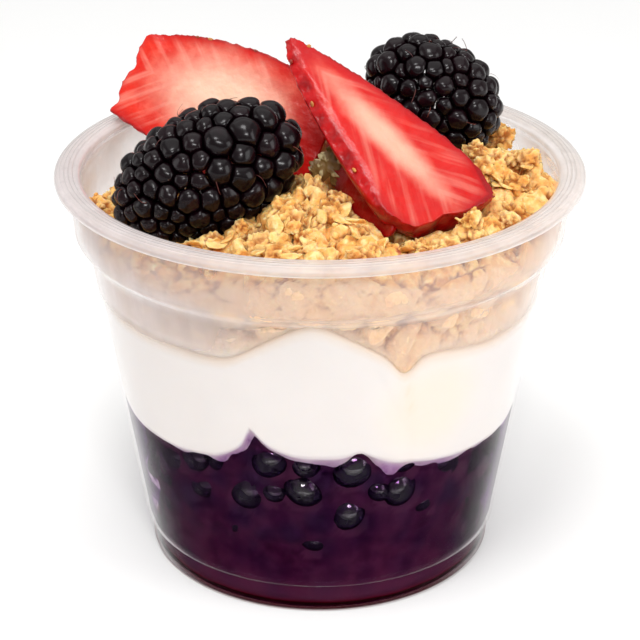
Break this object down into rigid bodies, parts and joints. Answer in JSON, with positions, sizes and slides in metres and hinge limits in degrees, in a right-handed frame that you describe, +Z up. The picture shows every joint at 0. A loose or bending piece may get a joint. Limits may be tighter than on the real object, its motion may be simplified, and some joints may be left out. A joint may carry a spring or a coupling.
{
  "type": "yogurt parfait",
  "caption": "Clear plastic cup with a rolled rim and stepped foot, filled with layers of blueberry compote, yogurt and granola, topped with strawberry pieces and dark bramble fruits.",
  "frame": {"origin": "middle of the ring that the cup stands on, in its plane", "axes": "+Z up along the cup's axis, -Y towards the front, where the strawberry slice's cut face looks, +X to the right"},
  "size_m": [0.092, 0.092, 0.0947],
  "materials": {
    "clear_plastic": "clear, faintly hazy thermoformed sheet",
    "compote": "glossy, dark and slightly see-through",
    "yogurt": "smooth and soft, faintly glossy",
    "granola": "rough and crumbly",
    "bramble": "glossy drupelets",
    "strawberry": "moist, pale at the core of a cut face",
    "calyx": "thin, dry and slightly see-through"
  },
  "bodies": {
    "root": {"cup": "clear_plastic", "compote": "compote", "yogurt": "yogurt", "granola": "granola", "bramble_front": "bramble", "bramble_back": "bramble", "strawberry_back": "strawberry", "strawberry_front": "strawberry", "strawberry_under": "strawberry", "calyx_leaf": "calyx"}
  },
  "joints": []
}
